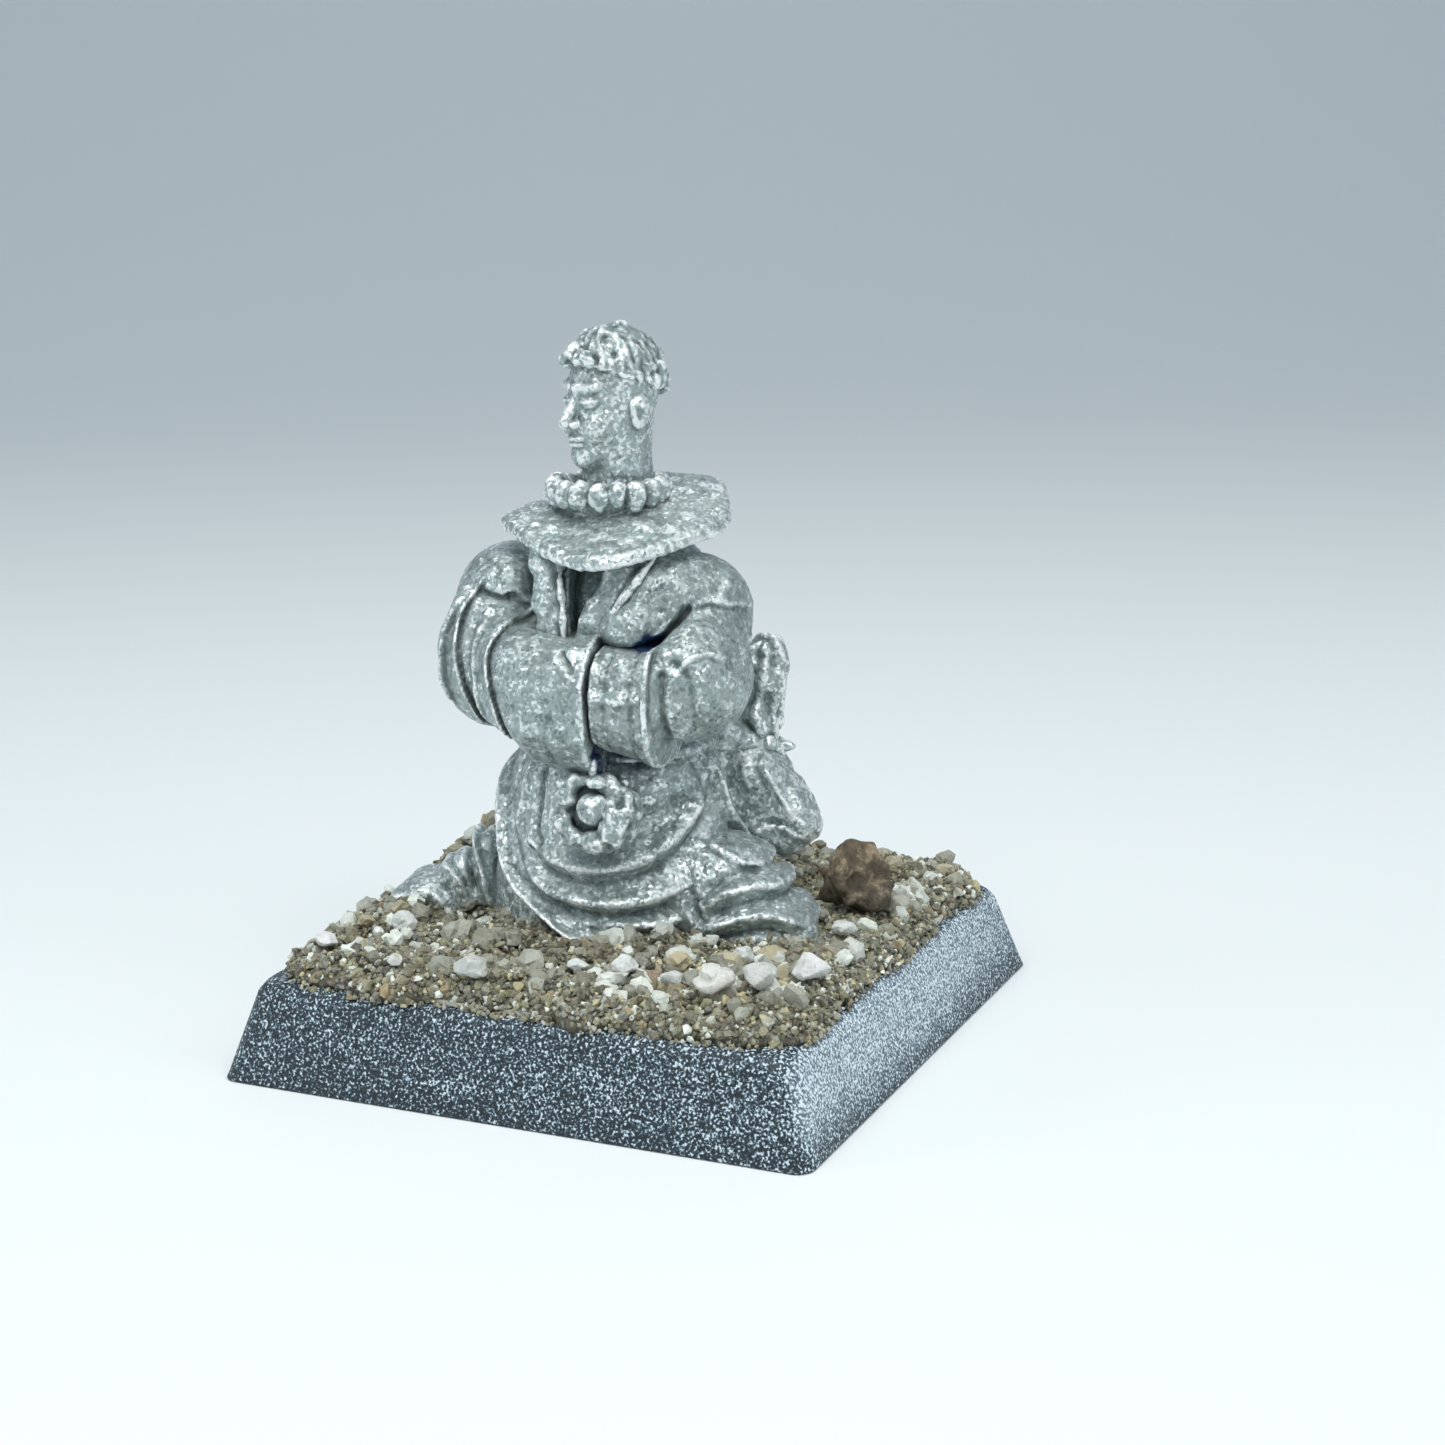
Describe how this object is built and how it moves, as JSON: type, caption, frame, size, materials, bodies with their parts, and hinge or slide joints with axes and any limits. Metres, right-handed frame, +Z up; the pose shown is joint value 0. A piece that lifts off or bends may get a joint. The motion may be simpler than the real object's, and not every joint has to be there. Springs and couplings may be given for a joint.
{
  "type": "miniature figure",
  "caption": "Bare cast-metal miniature of a robed figure with folded sleeves, bead collar and pouch, on a slotted square base with sand and stones.",
  "frame": {"origin": "middle of the base's underside, on the surface it stands on", "axes": "+Z up, the figure faces -Y, its own left is +X"},
  "size_m": [0.02, 0.02, 0.0229],
  "materials": {
    "cast_metal": "satin",
    "black_plastic": "matte",
    "sand": "matte",
    "white_glue": "satin",
    "superglue": "gloss",
    "brown_stone": "matte",
    "quartz": "satin"
  },
  "bodies": {
    "root": {"base": "black_plastic", "slot_adhesive": "superglue", "glue_film": "white_glue", "sand_bed": "sand", "brown_rock": "brown_stone", "pebble_1": "quartz", "pebble_2": "quartz", "pebble_3": "quartz", "pebble_4": "quartz", "pebble_5": "quartz", "pebble_6": "quartz", "pebble_7": "quartz", "pebble_8": "quartz", "pebble_9": "quartz", "pebble_10": "quartz", "pebble_11": "quartz", "pebble_12": "quartz", "pebble_13": "quartz", "pebble_14": "quartz", "robe_body": "cast_metal", "sash": "cast_metal", "skirt": "cast_metal", "right_hem": "cast_metal", "left_hem": "cast_metal", "right_sleeve": "cast_metal", "left_sleeve": "cast_metal", "joined_cuff": "cast_metal", "right_lapel": "cast_metal", "left_lapel": "cast_metal", "mantle": "cast_metal", "bead_collar": "cast_metal", "head": "cast_metal", "hair": "cast_metal", "pendant_loop": "cast_metal", "pendant_ring": "cast_metal", "pendant_ball": "cast_metal", "pouch": "cast_metal", "pouch_tie": "cast_metal", "pouch_neck": "cast_metal", "pouch_toggle": "cast_metal"}
  },
  "joints": []
}
